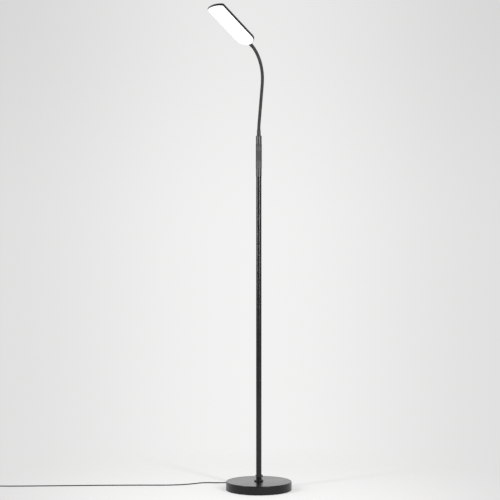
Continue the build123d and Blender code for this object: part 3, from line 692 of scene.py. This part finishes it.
def bent_line(start, corner, end):
    """A smooth arc of line from start to end that leaves and arrives towards corner."""
    data = bpy.data.curves.new("neck_line", "CURVE")
    data.dimensions = "3D"
    data.resolution_u = 48
    data.twist_mode = "MINIMUM"
    data.use_stretch = True
    data.use_deform_bounds = True
    spline = data.splines.new("BEZIER")
    spline.bezier_points.add(1)
    first, last = spline.bezier_points
    for point in (first, last):
        point.handle_left_type = point.handle_right_type = "FREE"
    first.co, last.co = start * mm, end * mm
    leaving, arriving = (corner - start) * 2 / 3, (corner - end) * 2 / 3
    first.handle_right = (start + leaving) * mm
    first.handle_left = (start - leaving) * mm
    last.handle_left = (end + arriving) * mm
    last.handle_right = (end - arriving) * mm
    line = bpy.data.objects.new("neck_line", data)
    scene.collection.objects.link(line)
    return line


def make_neck_piece(index, start, corner, end):
    """The stretch of hose over one joint, bent round it between the midpoints on its two sides.
    """
    length = (corner - start).length + (end - corner).length
    count = max(2, round(length / rib_pitch))
    hose = one_rib(f"neck_hose_{index + 1:02d}", length / count)
    line = bent_line(start, corner, end)
    repeat = hose.modifiers.new("turns", "ARRAY")
    repeat.count = count
    repeat.use_relative_offset = True
    repeat.relative_offset_displace = (0, 0, 1)
    repeat.use_merge_vertices = True
    repeat.merge_threshold = 0.00002
    bend = hose.modifiers.new("bend", "CURVE")
    bend.object = line
    bend.deform_axis = "POS_Z"
    apply_modifiers(hose)
    bpy.data.objects.remove(line, do_unlink=True)
    work_on(hose)
    edit()
    bpy.ops.mesh.select_all(action="SELECT")
    bpy.ops.mesh.fill_holes(sides=0)
    finish_edit()
    smooth(hose, 60)
    wear(hose, neck_coat)
    if index < joint_count - 1:
        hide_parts(f"neck_link_{index + 1:02d}")
    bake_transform(hose)


def make_neck():
    middles = [(a + b) / 2 for a, b in zip(joints, joints[1:])]
    starts = [Vector((0, 0, ball_height - 13))] + middles
    ends = middles + [joints[-1] + head_way * 9]
    for index, corner in enumerate(joints):
        make_neck_piece(index, starts[index], corner, ends[index])

    low, top = sleeve_top, ball_height - 10
    outline = [(2.5, low - 11), (4.8, low - 11), (5.0, low - 10.8), (5.0, low), (6.9, low)]
    outline += [(7.2, low + 0.3), (7.15, low + 1.2), (6.25, top - 1.2), (6.1, top - 0.5)]
    outline += [(5.85, top), (5.4, top + 0.1), (5.2, top - 2.0), (2.5, top - 2.5)]
    lower = turned("lower_ferrule_skin", outline, sides=72, bored=True)
    settle(lower, "stand", neck_coat, "black_powder_coat", "lower_ferrule")

    outline = [(1.2, 8.5), (5.2, 8.0), (5.4, 6.2), (5.85, 6.3), (6.0, 6.8), (6.05, 7.6)]
    outline += [(6.1, 20.8), (6.1, 21.7), (5.9, 21.98), (2.3, 21.98), (2.3, 24.1), (1.7, 24.15)]
    outline += [(1.7, 25.35), (2.3, 25.4), (2.3, 30.8), (2.1, 31.0), (1.2, 31.0)]
    upper = turned("upper_ferrule_skin", outline, sides=72, bored=True)
    turn = Vector((0, 0, 1)).rotation_difference(head_way).to_matrix().to_4x4()
    put(upper, Matrix.Translation(joints[-1] * mm) @ turn)
    settle(upper, "head", neck_coat, "black_powder_coat", "upper_ferrule")


# --- head ---------------------------------------------------------------------------
def fillet_arc(centre, radius, start, end, steps):
    angles = [start + (end - start) * step / steps for step in range(steps + 1)]
    return [(centre[0] + radius * cos(a), centre[1] + radius * sin(a)) for a in angles]


def half_outline():
    """One side of the head's outline, from the neck end's middle to the tip's middle."""
    half = head_width / 2
    neck_arc = (half**2 + neck_end_bulge**2) / (2 * neck_end_bulge)
    tip_arc = (half**2 + tip_bulge**2) / (2 * tip_bulge)
    tip_centre = head_length - tip_arc
    r = neck_end_corner
    reach = neck_arc - r
    x = neck_arc - sqrt(reach**2 - (half - r) ** 2)
    lean = acos((x - neck_arc) / reach)
    points = fillet_arc((neck_arc, 0), neck_arc, pi, lean, 22)
    points += fillet_arc((x, half - r), r, lean, pi / 2, 4)[1:]
    r = tip_corner
    reach = tip_arc - r
    x = tip_centre + sqrt(reach**2 - (half - r) ** 2)
    lean = acos((x - tip_centre) / reach)
    points += fillet_arc((x, half - r), r, pi / 2, lean, 6)
    points += fillet_arc((tip_centre, 0), tip_arc, lean, 0, 12)[1:]
    return points


def head_plate(name, level):
    """The head's outline as one flat face at a level, in the head's own directions."""
    side = half_outline()
    outline = side + [(x, -y) for x, y in side[-2:0:-1]]
    data = bpy.data.curves.new(name, "CURVE")
    data.dimensions = "2D"
    data.fill_mode = "BOTH"
    spline = data.splines.new("POLY")
    spline.points.add(len(outline) - 1)
    for point, (x, y) in zip(spline.points, outline):
        point.co = (x * mm, y * mm, 0, 1)
    spline.use_cyclic_u = True
    plate = bpy.data.objects.new(name, data)
    scene.collection.objects.link(plate)
    work_on(plate)
    bpy.ops.object.convert(target="MESH")
    plate = bpy.context.object
    edit()
    bpy.ops.mesh.select_all(action="SELECT")
    bpy.ops.mesh.remove_doubles(threshold=0.000001)
    bpy.ops.mesh.dissolve_limited(angle_limit=radians(1))
    bpy.ops.mesh.select_all(action="SELECT")
    bpy.ops.transform.translate(value=(0, 0, level * mm))
    return plate


def grow(inset, rise):
    """Draws the selected face inwards by inset, or straight on, and then along the normal."""
    if inset:
        bpy.ops.mesh.inset(thickness=inset * mm, depth=0)
    if rise:
        push = {"value": (0, 0, rise * mm)}
        bpy.ops.mesh.extrude_region_move(TRANSFORM_OT_translate=push)


def close_and_place(piece, angle=30):
    """Ends the work on a piece of the head and brings it from flat to the head's place."""
    finish_edit()
    long_axis, across, outward = head_axes()
    place = Matrix((long_axis, across, outward)).transposed().to_4x4()
    place.translation = (head_start - outward * neck_entry) * mm
    put(piece, place)
    smooth(piece, angle)


def at_level(part, level):
    """Whether a face or an edge of the flat head lies at a level."""
    return all(abs(vertex.co.z - level * mm) < 1e-6 for vertex in part.verts)


def bevel_rims(piece, level, size, segments):
    """Rounds the edges that run round the piece at a level."""
    select_edges(piece, lambda edge: at_level(edge, level)
                 and any(abs(face.normal.z) < 0.5 for face in edge.link_faces))
    bpy.ops.mesh.bevel(offset=size * mm, segments=segments, profile=0.5)


def make_head():
    half = head_depth / 2
    shell = head_plate("head_shell", -half)
    bpy.ops.mesh.select_mode(type="FACE")
    grow(0, head_depth)
    select_faces(shell, lambda face: at_level(face, half))
    grow(shell_lip, 0)
    grow(0, -(head_depth - shell_back))
    bpy.ops.mesh.select_all(action="SELECT")
    bpy.ops.mesh.normals_make_consistent(inside=False)
    bevel_rims(shell, -half, 1.3, 5)
    bevel_rims(shell, half, 0.18, 2)
    close_and_place(shell)
    settle(shell, "head", head_coat, "head_shell", "head_housing")

    panel = head_plate("light_panel", half)
    bpy.ops.mesh.select_mode(type="FACE")
    bpy.ops.mesh.select_all(action="SELECT")
    bpy.ops.mesh.inset(thickness=panel_margin * mm, depth=0)
    select_faces(panel, lambda face: not face.select)
    bpy.ops.mesh.delete(type="FACE")
    bpy.ops.mesh.select_all(action="SELECT")
    grow(0, panel_height)
    bpy.ops.mesh.select_all(action="SELECT")
    bpy.ops.mesh.normals_make_consistent(inside=False)
    bevel_rims(panel, half + panel_height, 1.5, 6)
    close_and_place(panel)
    settle(panel, "head", opal_panel, "opal_panel", "diffuser")


# --- adapter and tie ----------------------------------------------------------------
boot_length, joint_line = 12.0, 33.0
adapter_x, adapter_low = coil_x - outer_turn, coil_entry_y + outer_turn + tail_length
adapter_front = adapter_low + boot_length


def make_adapter():
    deselect_all()
    bpy.ops.mesh.primitive_cube_add(size=1)
    shell = bpy.context.object
    shell.name = "adapter_case"
    edit()
    size = (adapter_width * mm, adapter_length * mm, adapter_thick * mm)
    bpy.ops.transform.resize(value=size, center_override=(0, 0, 0))
    middle_y = adapter_front + adapter_length / 2
    middle = (adapter_x * mm, middle_y * mm, adapter_thick / 2 * mm)
    bpy.ops.transform.translate(value=middle)
    bpy.ops.mesh.bevel(offset=3 * mm, segments=6, profile=0.5)
    bpy.ops.mesh.select_all(action="SELECT")
    seam = (0, (adapter_front + joint_line) * mm, 0)
    bpy.ops.mesh.bisect(plane_co=seam, plane_no=(0, 1, 0))
    bpy.ops.mesh.bevel(offset=0.35 * mm, segments=2, profile=0.0)
    finish_edit()
    smooth(shell)
    settle(shell, "stand", adapter_shell, "adapter_shell", "adapter_body")

    outline = [(1.4, 0.0), (2.3, 0.0), (2.6, 0.4), (2.65, 1.6)]
    for index in range(4):
        low, wide = 2.4 + index * 2.2, 2.75 + index * 0.2
        outline += [(wide - 0.6, low), (wide - 0.6, low + 0.5), (wide, low + 0.8)]
        outline += [(wide + 0.05, low + 1.8)]
    outline += [(3.55, 11.4), (3.6, 12.3), (1.4, 12.3)]
    boot = turned("adapter_boot", outline, sides=36)
    turn = Matrix.Rotation(-pi / 2, 4, "X")
    place = Vector((adapter_x, adapter_low, adapter_thick / 2)) * mm
    put(boot, Matrix.Translation(place) @ turn)
    settle(boot, "stand", cord_jacket, "cord_jacket")
    return shell, boot


def make_tie():
    """A flat band round the turns."""
    half_step, half_band, gap, play, wall = 2.2, 2.0, 0.3, 0.1, 0.7
    inner_x = sqrt(inner_turn**2 - (half_step + half_band) ** 2) - cord_radius - gap
    outer_x = outer_turn - half_step + cord_radius + gap
    low = coil_level - cord_radius - play
    high = coil_level + layer_rise + cord_radius + play
    centre = Vector((coil_x + (inner_x + outer_x) / 2, coil_entry_y + outer_turn,
                     (low + high) / 2))
    deselect_all()
    bpy.ops.mesh.primitive_cube_add(size=1)
    band = bpy.context.object
    band.name = "coil_tie_band"
    edit("EDGE")
    size = (outer_x - inner_x + 2 * wall, 2 * half_band, high - low + 2 * wall)
    bpy.ops.transform.resize(value=Vector(size) * mm, center_override=(0, 0, 0))
    select_edges(band, lambda edge: abs(edge.verts[0].co.y - edge.verts[1].co.y) > mm)
    bpy.ops.mesh.bevel(offset=2.6 * mm, segments=6, profile=0.5)
    select_faces(band, lambda face: abs(face.normal.y) > 0.9)
    bpy.ops.mesh.inset(thickness=wall * mm, depth=0)
    bpy.ops.mesh.bridge_edge_loops()
    finish_edit()
    put(band, Matrix.Translation(centre * mm))
    smooth(band)
    settle(band, "stand", cord_jacket, "black_plastic", "coil_tie")
    return band


# --- the studio ---------------------------------------------------------------------
def node_value(nodes, links, operation, first, second=None):
    """A maths node whose inputs are sockets or plain numbers."""
    maths = nodes.new("ShaderNodeMath")
    maths.operation = operation
    for socket, value in zip(maths.inputs, (first, second)):
        if isinstance(value, (int, float)):
            socket.default_value = value
        elif value is not None:
            links.new(value, socket)
    return maths.outputs[0]


def smooth_step(nodes, links, source, start, end, low, high):
    step = nodes.new("ShaderNodeMapRange")
    step.interpolation_type = "SMOOTHSTEP"
    step.inputs["From Min"].default_value = start
    step.inputs["From Max"].default_value = end
    step.inputs["To Min"].default_value = low
    step.inputs["To Max"].default_value = high
    links.new(source, step.inputs["Value"])
    return step.outputs["Result"]


def make_floor():
    """A pale floor whose far part the camera sees as the backdrop, so no horizon shows."""
    deselect_all()
    bpy.ops.mesh.primitive_circle_add(vertices=128, radius=60.0, fill_type="NGON")
    floor = bpy.context.object
    floor.name = "studio_floor"
    finish = bpy.data.materials.new("pale_studio_floor")
    finish.use_nodes = True
    nodes, links = finish.node_tree.nodes, finish.node_tree.links
    nodes.clear()
    fade_from, fade_to, clear_near, clear_far = 0.15, 1.1, 0.45, 1.0
    path = nodes.new("ShaderNodeLightPath")
    place = nodes.new("ShaderNodeTexCoord")
    away = nodes.new("ShaderNodeVectorMath")
    away.operation = "LENGTH"
    links.new(place.outputs["Object"], away.inputs[0])
    plain = nodes.new("ShaderNodeBsdfDiffuse")
    plain.inputs["Color"].default_value = (0.78, 0.78, 0.772, 1)
    backdrop = nodes.new("ShaderNodeBsdfTransparent")
    fade = smooth_step(nodes, links, away.outputs["Value"], fade_from, fade_to,
                       clear_near, clear_far)
    share = node_value(nodes, links, "MULTIPLY", fade, path.outputs["Is Camera Ray"])
    mix = nodes.new("ShaderNodeMixShader")
    out = nodes.new("ShaderNodeOutputMaterial")
    links.new(share, mix.inputs[0])
    links.new(plain.outputs[0], mix.inputs[1])
    links.new(backdrop.outputs[0], mix.inputs[2])
    links.new(mix.outputs[0], out.inputs["Surface"])
    wear(floor, finish)


def make_world():
    """Pale backdrop for the camera, a white room with a dark front for the reflections."""
    world = bpy.data.worlds.new("studio_air")
    scene.world = world
    world.use_nodes = True
    nodes, links = world.node_tree.nodes, world.node_tree.links
    nodes.clear()
    path = nodes.new("ShaderNodeLightPath")
    way = nodes.new("ShaderNodeTexCoord")
    split = nodes.new("ShaderNodeSeparateXYZ")
    links.new(way.outputs["Generated"], split.inputs[0])
    room = nodes.new("ShaderNodeBackground")
    room.inputs["Color"].default_value = (1, 1, 0.995, 1)
    front, behind, dark_front, bright_back = -0.25, 0.55, 0.03, 1.15
    reflected = smooth_step(nodes, links, split.outputs["Y"], front, behind, dark_front,
                            bright_back)
    links.new(reflected, room.inputs["Strength"])
    fill = nodes.new("ShaderNodeBackground")
    fill.inputs["Color"].default_value = (1, 1, 1, 1)
    fill.inputs["Strength"].default_value = 0.62
    seen = nodes.new("ShaderNodeBackground")
    seen.inputs["Color"].default_value = (1.0, 1.0, 0.993, 1)
    aside = node_value(nodes, links, "ABSOLUTE", split.outputs["X"])
    reach, middle_level, side_level, top_loss = 0.2, 0.89, 0.745, 0.07
    level = smooth_step(nodes, links, aside, 0.0, reach, middle_level, side_level)
    above = smooth_step(nodes, links, split.outputs["Z"], 0.0, reach, 0.0, top_loss)
    links.new(node_value(nodes, links, "SUBTRACT", level, above), seen.inputs["Strength"])
    lighting = nodes.new("ShaderNodeMixShader")
    view = nodes.new("ShaderNodeMixShader")
    out = nodes.new("ShaderNodeOutputWorld")
    links.new(path.outputs["Is Glossy Ray"], lighting.inputs[0])
    links.new(fill.outputs[0], lighting.inputs[1])
    links.new(room.outputs[0], lighting.inputs[2])
    links.new(path.outputs["Is Camera Ray"], view.inputs[0])
    links.new(lighting.outputs[0], view.inputs[1])
    links.new(seen.outputs[0], view.inputs[2])
    links.new(view.outputs[0], out.inputs["Surface"])


def soft_box(name, azimuth, distance, height, width, tall, power):
    """An upright soft box; azimuth 0 is the camera's side, positive is to the right."""
    turn = radians(azimuth)
    place = Vector((distance * sin(turn), -distance * cos(turn), height))
    deselect_all()
    bpy.ops.object.light_add(type="AREA", location=place)
    box = bpy.context.object
    box.name = name
    box.data.shape = "RECTANGLE"
    box.data.size = width
    box.data.size_y = tall
    box.data.energy = power
    aim = Vector((0, 0, height)) - place
    box.rotation_euler = aim.to_track_quat("-Z", "Y").to_euler()
    box.visible_camera = False


def make_lights():
    height, tall = 1.85, 2.3
    soft_box("soft_box_left", -54, 3.0, height, 0.4, tall, 82)
    soft_box("soft_box_right", 32, 3.2, height, 0.34, tall, 112)


make_floor()
make_world()
make_lights()
make_base()
make_pole()
make_boot()
make_sleeve()
make_neck()
make_head()
adapter_case, adapter_boot = make_adapter()
tie_band = make_tie()

wear(cord, cord_jacket)
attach(cord, "stand")
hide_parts("cord", "cord_coil", "cord_tail")
cord_length(cord)

carried = {
    "base_weight": cast_iron, "base_bolt": zinc_steel, "base_washer": zinc_steel,
    "foot_plug": zinc_steel, "tube_joiner_1": zinc_steel, "tube_joiner_2": zinc_steel,
    "circuit_board": board_green, "tact_switches": part_black, "driver_parts": part_black,
    "lead_connector": nylon_white, "supply_lead": cord_jacket, "neck_nut": plated_brass,
    "neck_clip": zinc_steel, "led_board": white_board, "reflector": white_sheet,
    "leds": lamp_yellow, "head_screws": zinc_steel, "adapter_blades": plated_brass,
}
for node, finish in carried.items():
    wear(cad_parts[node], finish)

scene.view_settings.view_transform = "Standard"
